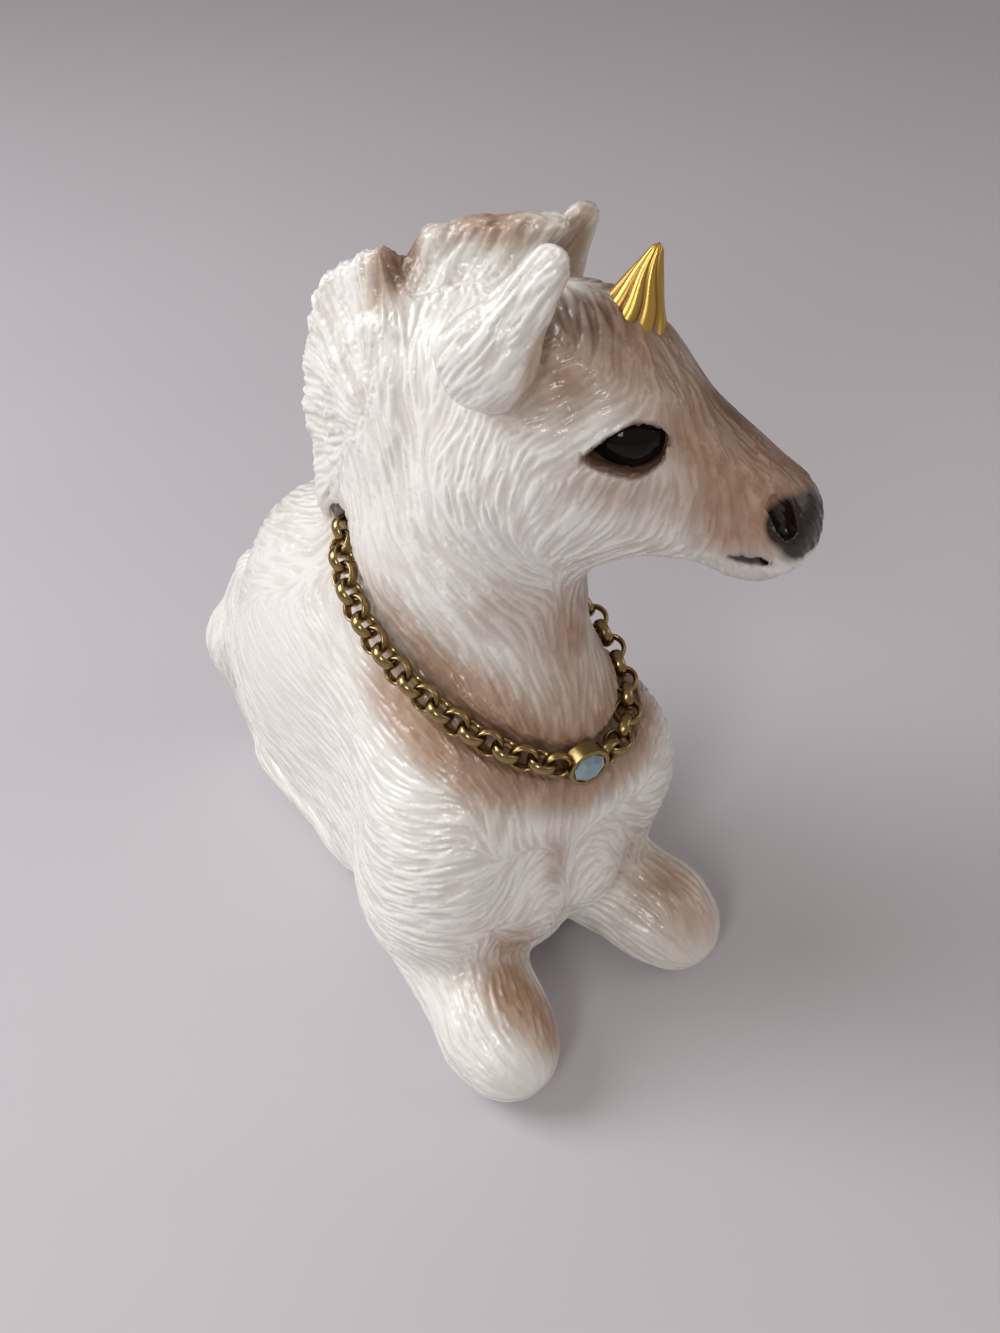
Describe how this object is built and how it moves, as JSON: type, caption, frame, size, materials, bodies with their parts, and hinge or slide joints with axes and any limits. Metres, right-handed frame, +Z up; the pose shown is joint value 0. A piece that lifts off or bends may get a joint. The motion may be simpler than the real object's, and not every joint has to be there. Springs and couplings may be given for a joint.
{
  "type": "unicorn figurine",
  "caption": "Small glazed figurine of a lying unicorn foal, head turned aside, with a gilded horn and a loose chain of rings with a cut stone at the throat.",
  "frame": {"origin": "on the floor, at the middle of the underside of the felt pad under the trunk", "axes": "+Z up; -Y the way the chest and folded knees point; -X the foal's right side; the head is turned towards +X"},
  "size_m": [0.0554, 0.1017, 0.1233],
  "materials": {
    "glazed_body": "pearl white gloss glaze over a brushed surface, with tan washes in the folds",
    "muzzle_glaze": "pearl white gloss glaze, dark brown wash over the nostrils",
    "gilding": "gold lustre, polished, with brown wash in the flutes",
    "eye_glass": "black glass, polished",
    "chain_metal": "bright pale gold plate",
    "setting_metal": "bright pale gold plate",
    "stone": "faceted, clear pale blue",
    "felt": "plain grey felt"
  },
  "bodies": {
    "figurine": {"trunk": "glazed_body", "neck": "glazed_body", "head": "muzzle_glaze", "mane_crest": "glazed_body", "forelock": "glazed_body", "right_ear": "glazed_body", "left_ear": "glazed_body", "right_eye": "eye_glass", "left_eye": "eye_glass", "horn": "gilding", "right_foreleg": "glazed_body", "left_foreleg": "glazed_body", "right_hind_leg": "glazed_body", "left_hind_leg": "glazed_body", "tail": "glazed_body", "felt_pad": "felt"},
    "necklace": {"left_edge_rings": "chain_metal", "right_edge_rings": "chain_metal", "left_flat_rings": "chain_metal", "right_flat_rings": "chain_metal", "jewel_setting": "setting_metal", "crystal": "stone"}
  },
  "joints": [
    {"name": "necklace_lift", "type": "hinge", "parent": "figurine", "child": "necklace", "pos_m": [-0.0038, 0.0152, 0.0735], "axis": [-1, 0, 0], "range_deg": [0, 16]}
  ]
}
